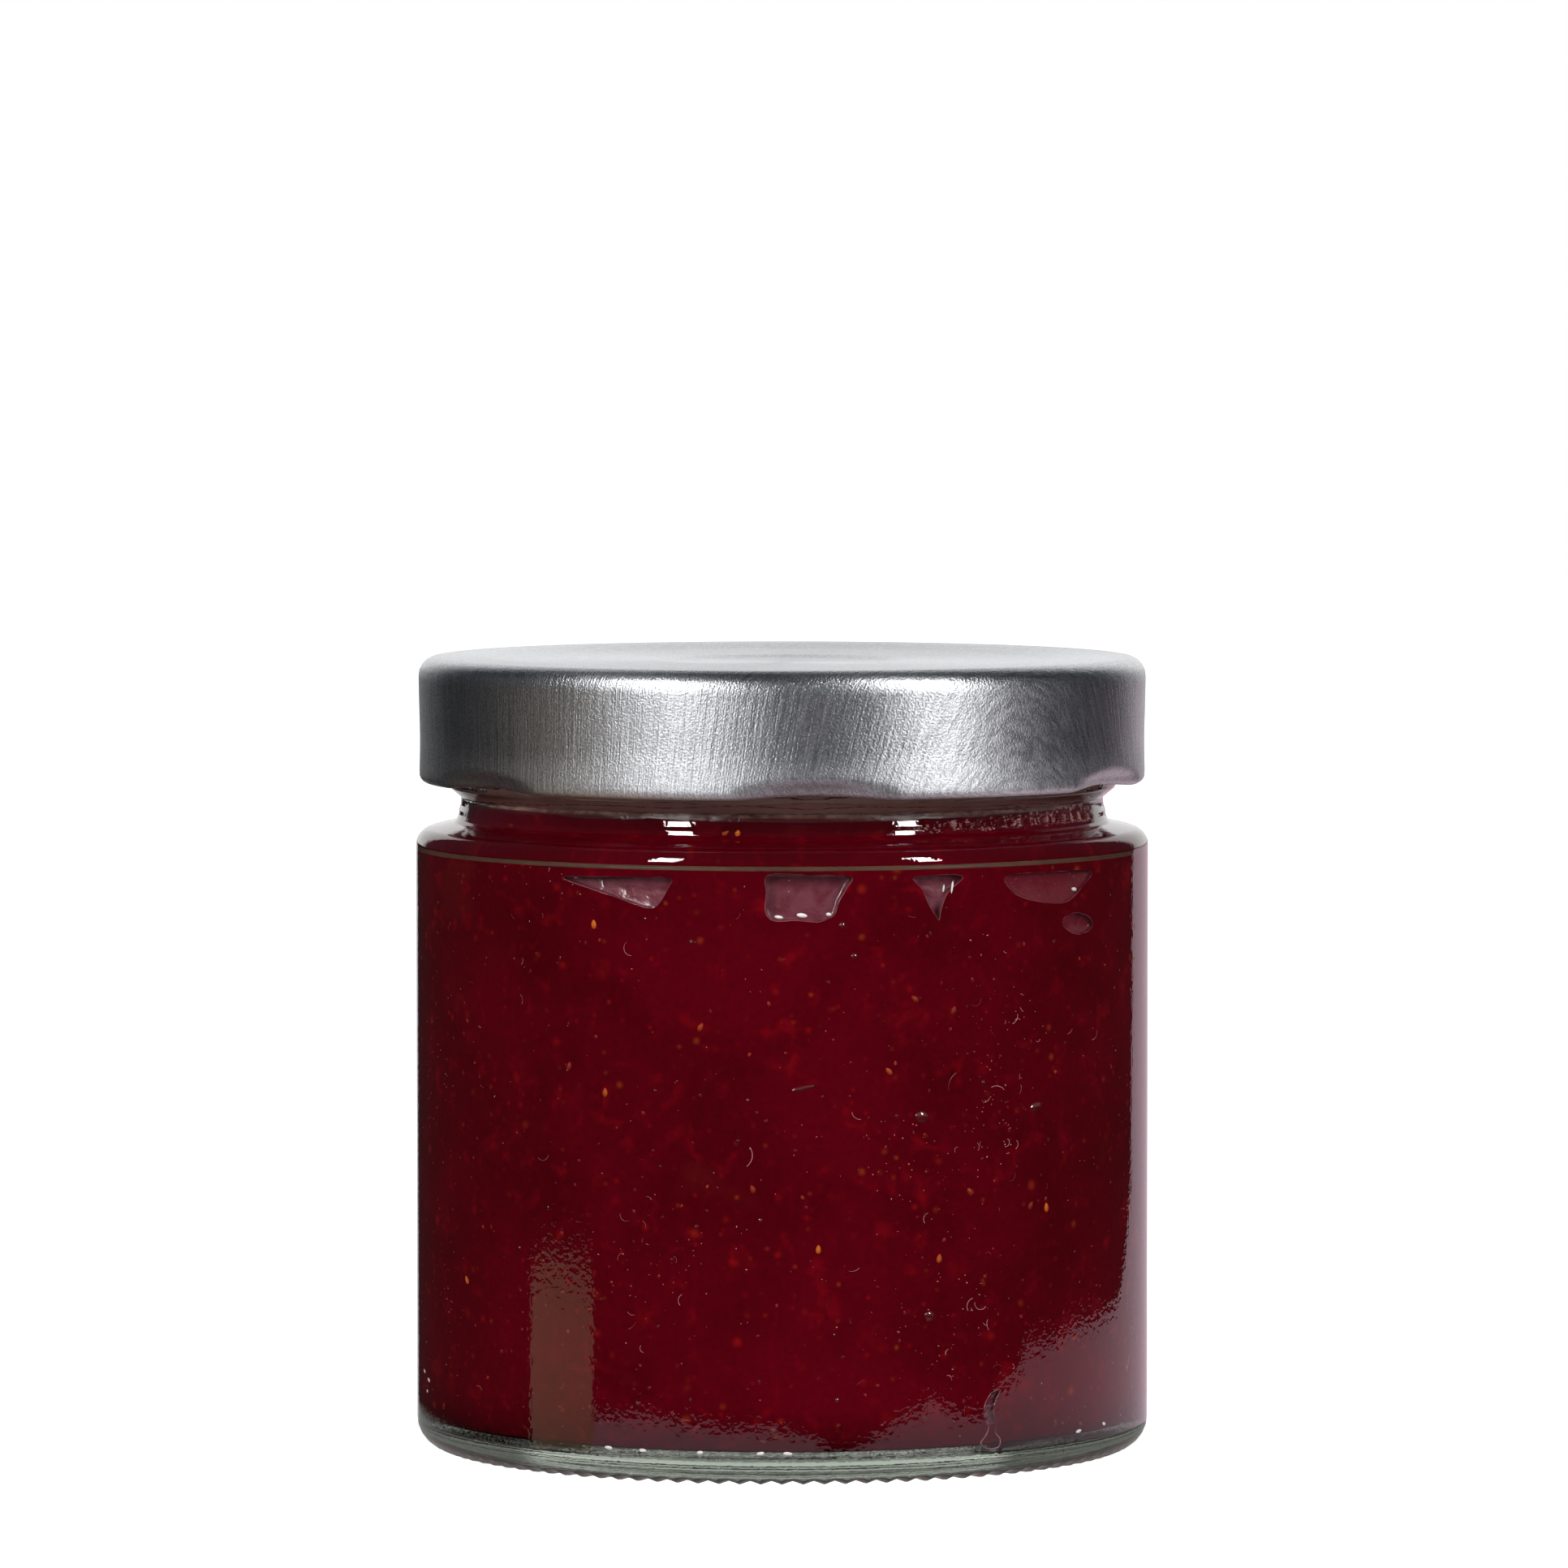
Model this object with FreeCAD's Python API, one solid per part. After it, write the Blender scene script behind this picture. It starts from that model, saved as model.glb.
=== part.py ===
import FreeCAD, Part

import math
import os

# Twist-off glass jar, closed with a deep lug lid and filled with jam. Millimetres, Z up.
# The origin is the centre of the plane that the jar stands on, and Z is the jar's axis.

# Overall
jar_diameter = 86.1  # outside of the body
total_height = 93.0  # standing plane to the top ring of the closed lid

# Glass body
side_wall = 2.35
base_thickness = 3.4  # glass between the standing plane and the jam, at the side wall
heel_radius = 3.4  # outside round from the side wall to the standing ring
floor_corner_radius = 3.5  # inside round from the floor to the side wall
standing_ring_width = 3.4  # flat ring that the jar stands on
push_up_height = 1.8  # rise of the hollow underside at its centre
push_up_flat_radius = 22.0
push_up_round = 60.0  # soft bend from the hollow's flat middle to its flank
ring_edge_round = 1.5  # bend from the flank to the standing ring
bar_count = 104  # bars across the standing ring, with a groove between each two
groove_depth = 0.42
groove_radius = 0.72

# Shoulder and neck
shoulder_step = 5.3  # how far the neck stands in from the body
shoulder_slope = 12.7  # degrees, rising towards the neck
shoulder_round = 1.95
inner_shoulder_round = 1.2
inner_shoulder_depth = 2.5  # glass between the shoulder's two faces, along Z
neck_root_round = 0.8
inner_neck_root_round = 3.0
neck_wall = 2.4
neck_height = 2.8  # straight neck between the shoulder and the bead

# Finish: the part of the glass inside the lid
finish_height = 16.1  # bead's lower edge to the rim
bead_reach = 1.45  # how far the bead and the finish stand out from the neck
bead_rise = 1.2  # height of the bead's sloping underside
bead_round = 0.5
rim_outer_round = 1.4
rim_inner_round = 0.8
ramp_count = 6  # thread ramps, one for each lug of the lid
ramp_reach = 1.15  # how far a ramp stands out from the finish
ramp_crest_height = 1.2
ramp_round = 0.4  # rounds along a ramp's crest
ramp_flank = 24.0  # degrees that a ramp's faces slope away from its crest
ramp_arc = 46.0  # degrees that a ramp covers
ramp_lead = 2.2  # degrees of climb, so that a quarter turn draws the lid down
ramp_embed = 1.0  # the ramp's root inside the finish wall

# Lid
lid_plate = 0.4
lid_height = 14.8
ring_width = 4.9  # flat top ring over the glass rim
lid_corner_radius = 2.25
panel_drop = 0.5  # centre panel below the top ring
panel_slope_width = 4.6
panel_bend = 4.0
button_radius = 12.5  # vacuum button in the middle of the panel
button_drop = 0.3
button_slope_width = 2.0
button_bend = 2.0
skirt_clearance = 1.8  # between the ramps' crests and the inside of the skirt
curl_radius = 1.0  # rolled lower edge
curl_proud = 0.12  # how far the curl stands out from the skirt
lug_tube_radius = 0.85  # the curl pressed flat across a chord
lug_rise = 0.3  # the pressed curl's axis above the curl's own
lug_reach = 0.8  # how far a lug reaches in under its ramp
lug_dent = 0.45  # lift of the lid's edge below a lug
lug_play = 0.35  # between a lug and its ramp
first_lug = 5.0  # degrees from the front, -Y, towards +X

# Jam
jam_below_rim = 16.8  # level of the jam under the glass rim
fill_gap = 0.1  # between the jam and the glass

# Radii
body_radius = jar_diameter / 2
neck_radius = body_radius - shoulder_step
finish_radius = neck_radius + bead_reach
ramp_radius = finish_radius + ramp_reach
lid_radius = ramp_radius + skirt_clearance + lid_plate
inner_radius = body_radius - side_wall
bore_radius = neck_radius - neck_wall
ring_outer_radius = body_radius - heel_radius
ring_inner_radius = ring_outer_radius - standing_ring_width

# Heights
rim_z = total_height - lid_plate
bead_z = rim_z - finish_height
neck_root_z = bead_z - neck_height
shoulder_fall = math.tan(math.radians(shoulder_slope))
shoulder_z = neck_root_z - shoulder_step * shoulder_fall
jam_z = rim_z - jam_below_rim
lid_edge_z = total_height - lid_height
curl_z = lid_edge_z + curl_radius
lug_z = curl_z + lug_rise


def rounded_wire(corners):
    """Closed wire in the XZ plane. Each corner is (radius, z, round), and a round is a tangent arc."""
    points = [FreeCAD.Vector(r, 0, z) for r, z, _ in corners]
    starts, ends, arcs = [], [], []
    for i, corner in enumerate(points):
        to_last = (points[i - 1] - corner).normalize()
        to_next = (points[(i + 1) % len(points)] - corner).normalize()
        half = to_last.getAngle(to_next) / 2
        size = corners[i][2]
        if size == 0 or math.pi / 2 - half < 1e-6:
            starts.append(corner)
            ends.append(corner)
            arcs.append(None)
            continue
        tangent = size / math.tan(half)
        middle = (to_last + to_next).normalize() * (size / math.sin(half) - size)
        starts.append(corner + to_last * tangent)
        ends.append(corner + to_next * tangent)
        arcs.append(Part.Arc(starts[i], corner + middle, ends[i]).toShape())
    edges = []
    for i, arc in enumerate(arcs):
        if arc:
            edges.append(arc)
        following = starts[(i + 1) % len(points)]
        if ends[i].distanceToPoint(following) > 1e-6:
            edges.append(Part.LineSegment(ends[i], following).toShape())
    return Part.Wire(edges)


def turned(corners, angle=360):
    """Solid turned about Z from a profile of (radius, z, round) corners, starting in the XZ plane."""
    face = Part.Face(rounded_wire(corners))
    return face.revolve(FreeCAD.Vector(0, 0, 0), FreeCAD.Vector(0, 0, 1), angle)


def offset_inwards(corners, distance):
    """Corners of the line that runs a distance to the right of an open line of (radius, z, round) corners."""
    points = [FreeCAD.Vector(r, 0, z) for r, z, _ in corners]
    runs = [(b - a).normalize() for a, b in zip(points, points[1:])]
    sides = [FreeCAD.Vector(run.z, 0, -run.x) for run in runs]
    moved = [points[0] + sides[0] * distance]
    for i in range(1, len(runs)):
        mean = (sides[i - 1] + sides[i]).normalize()
        moved.append(points[i] + mean * (distance / mean.dot(sides[i])))
    moved.append(points[-1] + sides[-1] * distance)
    result = []
    for i, point in enumerate(moved):
        size = corners[i][2]
        if size:
            turns_right = runs[i - 1].cross(runs[i]).y > 0
            size = size - distance if turns_right else size + distance
        result.append((point.x, point.z, size))
    return result


def around(shape, count, first):
    """Copies of a shape made at the front, -Y, spread evenly about Z."""
    copies = []
    for i in range(count):
        copy = shape.copy()
        copy.rotate(FreeCAD.Vector(0, 0, 0), FreeCAD.Vector(0, 0, 1), first + 360 * i / count)
        copies.append(copy)
    return copies


def inside_corners(gap, top, top_round):
    """Right-hand side of the space in the glass, from its floor on the axis up to a level, less a gap."""
    slope = math.atan2(push_up_height, ring_inner_radius - push_up_flat_radius)
    lift = gap / math.cos(slope)
    floor_z = base_thickness + push_up_height + gap
    wall_r = inner_radius - gap
    wall_z = floor_z - gap + lift - (wall_r - push_up_flat_radius) * math.tan(slope)
    bore_r = bore_radius - gap
    ceiling_z = shoulder_z - inner_shoulder_depth - gap / math.cos(math.radians(shoulder_slope))
    return [
        (0, floor_z, 0),
        (push_up_flat_radius, floor_z, push_up_round + gap),
        (wall_r, wall_z, floor_corner_radius - gap),
        (wall_r, ceiling_z + (body_radius - wall_r) * shoulder_fall, inner_shoulder_round - gap),
        (bore_r, ceiling_z + (body_radius - bore_r) * shoulder_fall, inner_neck_root_round + gap),
        (bore_r, top, top_round),
    ]


def thread_ramp():
    """One thread ramp at the front, its lower face the lug's play above the lug."""
    crest_low = lug_z + lug_tube_radius + lug_play
    crest_high = crest_low + ramp_crest_height
    root_r = finish_radius - ramp_embed
    flank = (ramp_radius - root_r) * math.tan(math.radians(ramp_flank))
    profile = [
        (root_r, crest_low - flank, 0),
        (ramp_radius, crest_low, ramp_round),
        (ramp_radius, crest_high, ramp_round),
        (root_r, crest_high + flank, 0),
    ]
    ramp = turned(profile, ramp_arc)
    ramp.rotate(FreeCAD.Vector(0, 0, 0), FreeCAD.Vector(0, 0, 1), -90 - ramp_arc / 2)
    ramp.rotate(FreeCAD.Vector(0, 0, (crest_low + crest_high) / 2), FreeCAD.Vector(0, -1, 0), -ramp_lead)
    return ramp


def grooves():
    """Round grooves between the standing ring's bars. Each runs out where the glass rises above its depth."""
    flank_run = ring_inner_radius - push_up_flat_radius
    inner_end = ring_inner_radius - flank_run * groove_depth / push_up_height - groove_radius
    groove = Part.makeCylinder(
        groove_radius,
        body_radius + groove_radius - inner_end,
        FreeCAD.Vector(0, -inner_end, groove_depth - groove_radius),
        FreeCAD.Vector(0, -1, 0),
    )
    return around(groove, bar_count, 180 / bar_count)


def glass_jar():
    outside = [
        (0, push_up_height, 0),
        (push_up_flat_radius, push_up_height, push_up_round),
        (ring_inner_radius, 0, ring_edge_round),
        (body_radius, 0, heel_radius),
        (body_radius, shoulder_z, shoulder_round),
        (neck_radius, neck_root_z, neck_root_round),
        (neck_radius, bead_z, 0),
        (finish_radius, bead_z + bead_rise, bead_round),
        (finish_radius, rim_z, rim_outer_round),
    ]
    inside = inside_corners(0, rim_z, rim_inner_round)
    glass = turned(outside + inside[::-1]).cut(grooves())
    return glass.fuse(around(thread_ramp(), ramp_count, first_lug)).removeSplitter()


def jam():
    return turned(inside_corners(fill_gap, jam_z, 0) + [(0, jam_z, 0)])


def lid():
    ring_inner = lid_radius - lid_corner_radius - ring_width
    panel_z = total_height - panel_drop
    button_z = panel_z - button_drop
    outer = [
        (0, button_z, 0),
        (button_radius, button_z, button_bend),
        (button_radius + button_slope_width, panel_z, button_bend),
        (ring_inner - panel_slope_width, panel_z, panel_bend),
        (ring_inner, total_height, panel_bend),
        (lid_radius, total_height, lid_corner_radius),
        (lid_radius, curl_z, 0),
    ]
    shell = turned(outer + offset_inwards(outer, lid_plate)[::-1])
    curl_r = lid_radius + curl_proud - curl_radius
    curl = Part.makeTorus(curl_r, curl_radius, FreeCAD.Vector(0, 0, curl_z))

    # A lug is the curl pressed in across a chord, so its tube starts and ends on the curl's centre line
    chord_r = ramp_radius - lug_reach + lug_tube_radius
    half_chord = math.sqrt(curl_r ** 2 - chord_r ** 2)
    lug = Part.makeCylinder(
        lug_tube_radius, 2 * half_chord, FreeCAD.Vector(-half_chord, -chord_r, lug_z), FreeCAD.Vector(1, 0, 0)
    )

    # The dent below a lug is as wide as the chord and fades out at its ends
    dent_radius = (half_chord ** 2 + lug_dent ** 2) / (2 * lug_dent)
    dent_depth = lid_radius - chord_r + 2 * curl_radius
    dent = Part.makeCylinder(
        dent_radius,
        dent_depth,
        FreeCAD.Vector(0, -chord_r, lid_edge_z + lug_dent - dent_radius),
        FreeCAD.Vector(0, -1, 0),
    )
    edge = curl.cut(around(dent, ramp_count, first_lug)).fuse(around(lug, ramp_count, first_lug))
    return shell.fuse(edge).removeSplitter()


os.makedirs("parts", exist_ok=True)
for name, make in {"glass_jar": glass_jar, "lid": lid, "jam": jam}.items():
    shape = make()
    print(name, "valid", shape.isValid(), "solids", len(shape.Solids), "volume", round(shape.Volume))
    shape.exportStep("parts/" + name + ".step")
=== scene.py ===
import bmesh
import bpy
import random
from math import atan2, cos, degrees, exp, hypot, pi, radians, sin, tan
from mathutils import Matrix, Vector, noise


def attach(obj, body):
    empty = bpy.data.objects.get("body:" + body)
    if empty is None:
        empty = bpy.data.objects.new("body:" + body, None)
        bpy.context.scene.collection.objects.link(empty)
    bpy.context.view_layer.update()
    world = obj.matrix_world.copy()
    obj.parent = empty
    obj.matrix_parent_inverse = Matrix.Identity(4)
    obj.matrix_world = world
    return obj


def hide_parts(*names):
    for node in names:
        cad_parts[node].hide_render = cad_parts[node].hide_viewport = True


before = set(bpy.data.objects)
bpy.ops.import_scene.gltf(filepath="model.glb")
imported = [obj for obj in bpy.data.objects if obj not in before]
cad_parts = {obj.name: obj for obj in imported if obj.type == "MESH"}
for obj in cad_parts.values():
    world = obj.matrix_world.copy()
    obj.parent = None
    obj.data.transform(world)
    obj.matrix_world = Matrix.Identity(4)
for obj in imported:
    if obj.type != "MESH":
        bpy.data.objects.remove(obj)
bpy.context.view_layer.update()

mm = 0.001
scene = bpy.context.scene
# Azimuths are degrees round the jar from its front, -Y, towards +X. Sizes are in mm unless noted

print("stage 1: camera, lamps and surroundings")

camera = {
    "place": (0.00022, -1.150, 0.1415),  # metres
    "lookDown": 0.0553,  # radians below level
    "lens": 224.8,
    "sensor": 36,
    "sees": (0.01, 50),  # from and to, in metres
}


# Object that an add operator makes, the only one selected
def newPiece(name, add, **settings):
    bpy.ops.object.select_all(action="DESELECT")
    add(**settings)
    piece = bpy.context.active_object
    piece.name = name
    return piece


shotCamera = newPiece(
    "shotCamera", bpy.ops.object.camera_add,
    location=camera["place"], rotation=(pi / 2 - camera["lookDown"], 0, 0),
)
shotCamera.data.lens = camera["lens"]
shotCamera.data.sensor_width = camera["sensor"]
shotCamera.data.clip_start, shotCamera.data.clip_end = camera["sees"]
scene.camera = shotCamera
scene.view_settings.view_transform = "Standard"

# Two tall soft boxes in front, one each side, sizes in metres
lampAim = 0.05  # how far up the jar they point
softBoxes = {
    "left": {"azimuth": -38, "rise": 27, "distance": 0.86, "wide": 0.125, "tall": 0.38, "power": 4.2},
    "right": {"azimuth": 46.5, "rise": 27, "distance": 0.86, "wide": 0.105, "tall": 0.38, "power": 3.9},
}


# Point at an azimuth in degrees, in the units of the radius and the height
def around(azimuth, radius, height):
    angle = radians(azimuth)
    return Vector((radius * sin(angle), -radius * cos(angle), height))


for side, box in softBoxes.items():
    rise = radians(box["rise"])
    spot = around(box["azimuth"], box["distance"] * cos(rise), box["distance"] * sin(rise) + lampAim)
    aim = Vector((0, 0, lampAim)) - spot
    turn = aim.to_track_quat("-Z", "Y").to_euler()
    lamp = newPiece(side + "SoftBox", bpy.ops.object.light_add, type="AREA", location=spot, rotation=turn)
    lamp.data.shape = "RECTANGLE"
    lamp.data.size = box["wide"]
    lamp.data.size_y = box["tall"]
    lamp.data.energy = box["power"]


def nodeTree(material):
    material.use_nodes = True
    tree = material.node_tree
    tree.nodes.clear()
    return tree


# Node tree of a new material on some pieces
def newLook(name, *pieces):
    material = bpy.data.materials.new(name)
    for piece in pieces:
        piece.data.materials.append(material)
    return nodeTree(material)


# Adds a node, with settings, values for its unlinked inputs, and links from other nodes' outputs
def addNode(tree, kind, values=None, links=None, **settings):
    node = tree.nodes.new(kind)
    for name, value in settings.items():
        setattr(node, name, value)
    for name, value in (values or {}).items():
        node.inputs[name].default_value = value
    for name, output in (links or {}).items():
        tree.links.new(output, node.inputs[name])
    return node


# Where a piece's surface is: the vector, then x, y and z, in metres
def surfaceSpot(tree):
    spot = addNode(tree, "ShaderNodeTexCoord").outputs["Object"]
    parts = addNode(tree, "ShaderNodeSeparateXYZ", links={"Vector": spot}).outputs
    return spot, parts["X"], parts["Y"], parts["Z"]


# Output of a Math node whose inputs are numbers or other nodes' outputs
def calc(tree, operation, first, second=0.0, third=0.0, clamp=False):
    node = tree.nodes.new("ShaderNodeMath")
    node.operation = operation
    node.use_clamp = clamp
    for slot, value in enumerate((first, second, third)):
        if isinstance(value, bpy.types.NodeSocket):
            tree.links.new(value, node.inputs[slot])
        else:
            node.inputs[slot].default_value = value
    return node.outputs[0]


# Smooth 0 to 1 as a value goes from low to high
def ramp(tree, value, low, high):
    node = tree.nodes.new("ShaderNodeMapRange")
    node.interpolation_type = "SMOOTHSTEP"
    node.inputs["From Min"].default_value = low
    node.inputs["From Max"].default_value = high
    tree.links.new(value, node.inputs["Value"])
    return node.outputs["Result"]


# Output of a colour mix whose factor and colours are values or other nodes' outputs
def mixColour(tree, factor, first, second, blend="MIX"):
    node = tree.nodes.new("ShaderNodeMix")
    node.data_type = "RGBA"
    node.blend_type = blend
    for slot, value in ((0, factor), (6, first), (7, second)):
        if isinstance(value, bpy.types.NodeSocket):
            tree.links.new(value, node.inputs[slot])
        elif slot == 0:
            node.inputs[slot].default_value = value
        else:
            node.inputs[slot].default_value = (*value, 1)
    return node.outputs[2]


# The backdrop is white to the camera. Glass and metal see a white wedge of it behind the jar, and a dark room
room = {
    "ambient": 0.27,
    "dark": (0.034, 0.037, 0.046),
    "throughGlass": (0.27, 0.275, 0.26),  # instead of dark, for rays that have come through the glass
    # degrees from straight behind or from level, and the fade inwards
    "wedgeLeft": (-27, 2),
    "wedgeRight": (33, -3),
    "wedgeTop": (42, -12),
}

world = bpy.data.worlds.new("studio")
scene.world = world
worldTree = nodeTree(world)
path = addNode(worldTree, "ShaderNodeLightPath")
look = addNode(worldTree, "ShaderNodeTexCoord")
lookParts = addNode(worldTree, "ShaderNodeSeparateXYZ", links={"Vector": look.outputs["Generated"]})
bearing = calc(worldTree, "ARCTAN2", lookParts.outputs["X"], lookParts.outputs["Y"])
climb = calc(worldTree, "ARCSINE", lookParts.outputs["Z"])
leftSide, rightSide, topSide = (
    ramp(worldTree, angle, radians(edge - fade), radians(edge + fade))
    for angle, (edge, fade) in
    ((bearing, room["wedgeLeft"]), (bearing, room["wedgeRight"]), (climb, room["wedgeTop"]))
)
wedge = calc(worldTree, "MULTIPLY", calc(worldTree, "MULTIPLY", leftSide, rightSide), topSide)
beside = mixColour(worldTree, path.outputs["Is Transmission Ray"], room["dark"], room["throughGlass"])
mirrored = mixColour(worldTree, wedge, beside, (1, 1, 1))
bounced = calc(worldTree, "GREATER_THAN", path.outputs["Diffuse Depth"], 0.5)
indirect = mixColour(worldTree, bounced, mirrored, (room["ambient"],) * 3)
seen = mixColour(worldTree, path.outputs["Is Camera Ray"], indirect, (1, 1, 1))
sky = addNode(worldTree, "ShaderNodeBackground", {"Strength": 1.0}, {"Color": seen})
addNode(worldTree, "ShaderNodeOutputWorld", links={"Surface": sky.outputs["Background"]})

# Pale floor, distances in metres. A lift for camera rays makes it white where no shadow falls
floorLook = {
    "size": 6.0,
    "colour": (0.80, 0.80, 0.80),
    "lift": 0.70,
    "fullLift": (0.12, 0.30),  # from and to where the lift grows to 1
    # as glass and metal see it
    "mirrored": 0.016,
    "footGlow": 0.30,
    "footReach": (0.070, 0.058),  # from and to where the glow under the jar grows
    "mirroredColour": (0.98, 0.98, 0.95),
}

floorPiece = newPiece("floor", bpy.ops.mesh.primitive_plane_add, size=floorLook["size"], location=(0, 0, 0))
floorTree = newLook("paleFloor", floorPiece)
path = addNode(floorTree, "ShaderNodeLightPath")
matt = addNode(floorTree, "ShaderNodeBsdfDiffuse", {"Color": (*floorLook["colour"], 1)})
floorReach = addNode(
    floorTree, "ShaderNodeVectorMath", links={0: surfaceSpot(floorTree)[0]}, operation="LENGTH"
)
awayFromJar = ramp(floorTree, floorReach.outputs["Value"], *floorLook["fullLift"])
liftStrength = calc(floorTree, "MULTIPLY_ADD", awayFromJar, 1.0 - floorLook["lift"], floorLook["lift"])
lift = addNode(floorTree, "ShaderNodeEmission", links={"Strength": liftStrength})
both = {0: matt.outputs["BSDF"], 1: lift.outputs["Emission"]}
lifted = addNode(floorTree, "ShaderNodeAddShader", links=both)
toCamera = {"Fac": path.outputs["Is Camera Ray"], 1: matt.outputs["BSDF"], 2: lifted.outputs["Shader"]}
direct = addNode(floorTree, "ShaderNodeMixShader", links=toCamera)
underJar = ramp(floorTree, floorReach.outputs["Value"], *floorLook["footReach"])
dimStrength = calc(floorTree, "MULTIPLY_ADD", underJar, floorLook["footGlow"], floorLook["mirrored"])
dim = addNode(
    floorTree, "ShaderNodeEmission", {"Color": (*floorLook["mirroredColour"], 1)}, {"Strength": dimStrength}
)
firstHit = calc(floorTree, "LESS_THAN", path.outputs["Diffuse Depth"], 0.5)
mirrorRay = calc(floorTree, "MULTIPLY", path.outputs["Is Glossy Ray"], firstHit)
toMirror = {"Fac": mirrorRay, 1: direct.outputs["Shader"], 2: dim.outputs["Emission"]}
floorMix = addNode(floorTree, "ShaderNodeMixShader", links=toMirror)
addNode(floorTree, "ShaderNodeOutputMaterial", links={"Surface": floorMix.outputs["Shader"]})


# Flat cards on the floor that only glass and metal mirror: a plinth that ends close in front of the jar and
# further back to the right, and a brown table past its left end
cards = {
    "plinthFront": {
        "colour": (0.72, 0.55, 0.63), "glow": 1.0, "height": 0.1, "near": 24,
        # azimuth on the glass, and how far the card reaches from there, the way that the camera is mirrored
        "reach": [
            (-30.2, 50), (-29.6, 61), (-22, 66), (-14, 58), (-2, 53), (4, 46), (9, 30), (14, 44), (18, 60),
            (23.5, 80), (29, 62), (32.5, 58), (35, 84), (38, 97), (40.5, 130), (52, 147), (65, 172),
            (68, 225), (70.6, 340), (71.4, 1200), (75, 1900), (89, 2500),
        ],
    },
    "plinthBack": {
        "colour": (0.62, 0.62, 0.64), "glow": 1.0, "height": 0.1, "near": 24,
        "reach": [(-89, 2500), (-83, 2500)],
    },
    "brownTable": {
        "colour": (0.32, 0.25, 0.17), "glow": 2.1, "height": 0.15, "near": 22,
        "reach": [(-42.2, 205), (-41, 232), (-38, 240), (-34, 236), (-31, 228), (-30.1, 205)],
    },
}
cardsFrom = 43  # radius on the glass
cameraAway = 1150


def mirrorCard(name, plan):
    pairs = len(plan["reach"]) - 1
    card = newPiece(name, bpy.ops.mesh.primitive_grid_add, x_subdivisions=pairs, y_subdivisions=1, size=1)
    for vertex in card.data.vertices:
        azimuth, far = plan["reach"][round((vertex.co.x + 0.5) * pairs)]
        start = around(azimuth, cardsFrom, plan["height"])
        mirrored = 2 * azimuth + degrees(atan2(start.x, cameraAway + start.y))
        vertex.co = (start + around(mirrored, plan["near"] if vertex.co.y < 0 else far, 0)) * mm
    tree = newLook(name + "Finish", card)
    light = addNode(tree, "ShaderNodeEmission", {"Color": (*plan["colour"], 1), "Strength": plan["glow"]})
    addNode(tree, "ShaderNodeOutputMaterial", links={"Surface": light.outputs["Emission"]})
    card.active_material.cycles.emission_sampling = "NONE"
    for ray in ("camera", "diffuse", "shadow", "transmission", "volume_scatter"):
        setattr(card, "visible_" + ray, False)


for name, plan in cards.items():
    mirrorCard(name, plan)

print("stage 2: glass jar")

glassSizes = {
    "sides": 416,  # four to each bar of the standing ring
    "roundSteps": 6,
    "bars": 104,
    "barDepth": 0.42,
    "barGaps": (0.30, 0.10),  # shares of a bar's pitch, for the slopes and for the floor between two bars
    "barsLie": (36.7, 41.4),
    "barsBelow": 0.6,
    # radius, height, round
    "outside": [
        (8, 1.8, 0), (22, 1.8, 60), (36.25, 0, 1.5), (36.9, 0, 0), (38.2, 0, 0), (39.2, 0, 0),
        (43.03, 0, 3.4), (43.03, 72.506, 1.95), (38.55, 73.52, 0.5), (38.19, 73.95, 0.3), (38.02, 74.45, 0.3),
        (37.98, 74.95, 0.3), (37.80, 75.55, 0.3), (37.76, 76.0, 0.2), (37.75, 76.5, 0.25), (39.2, 77.7, 0.5),
        *((39.2, height, 0) for height in (79.3, 79.9, 80.7, 81.9, 82.5)), (39.2, 92.55, 1.4),
    ],
    "inside": [
        (35.35, 92.55, 0.8), (35.35, 71.741, 3.0), (40.7, 70.535, 1.2), (40.7, 3.2, 5.0), (22, 5.35, 60),
        (8, 5.35, 0),
    ],
    "finishRadius": 39.2,
    "ramps": 6,
    "firstRamp": 5,
    "rampRows": (80.4, 82.2),  # heights of what is pulled out
    "slopeRows": (80, 82.4),
    "rampReach": 1.15,
    "rampArc": 44,
    "rampEase": (0, 2.5, 5),  # degrees that each step of a ramp is shorter at each end
    "rampParts": 9,
    "rampLead": 1.1,  # rise from a ramp's middle to its end
}


def newRing(name, radius, height, sides):
    place = (0, 0, height * mm)
    piece = newPiece(
        name, bpy.ops.mesh.primitive_circle_add, vertices=sides, radius=radius * mm, location=place
    )
    bpy.ops.object.transform_apply(location=True, rotation=False, scale=False)
    piece.data.name = name
    return piece


# Extrudes the selected ring from one (radius, height, ...) to another
def extrudeRing(last, ring):
    bpy.ops.mesh.extrude_region_move()
    scale = ring[0] / last[0]
    bpy.ops.transform.resize(value=(scale, scale, 1), center_override=(0, 0, 0))
    bpy.ops.transform.translate(value=(0, 0, (ring[1] - last[1]) * mm))


ringTolerance = 0.004


# Selects, in edit mode, the vertices whose (radius, height, azimuth) pass a test
def selectWhere(piece, test):
    mesh = bmesh.from_edit_mesh(piece.data)
    for vertex in mesh.verts:
        x, y, z = vertex.co / mm
        vertex.select = test(hypot(x, y), z, degrees(atan2(x, -y)))
    mesh.select_mode = {"VERT"}
    mesh.select_flush_mode()
    bmesh.update_edit_mesh(piece.data)


def selectRing(piece, ring):
    selectWhere(
        piece, lambda r, z, a: abs(r - ring[0]) < ringTolerance and abs(z - ring[1]) < ringTolerance
    )


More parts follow.
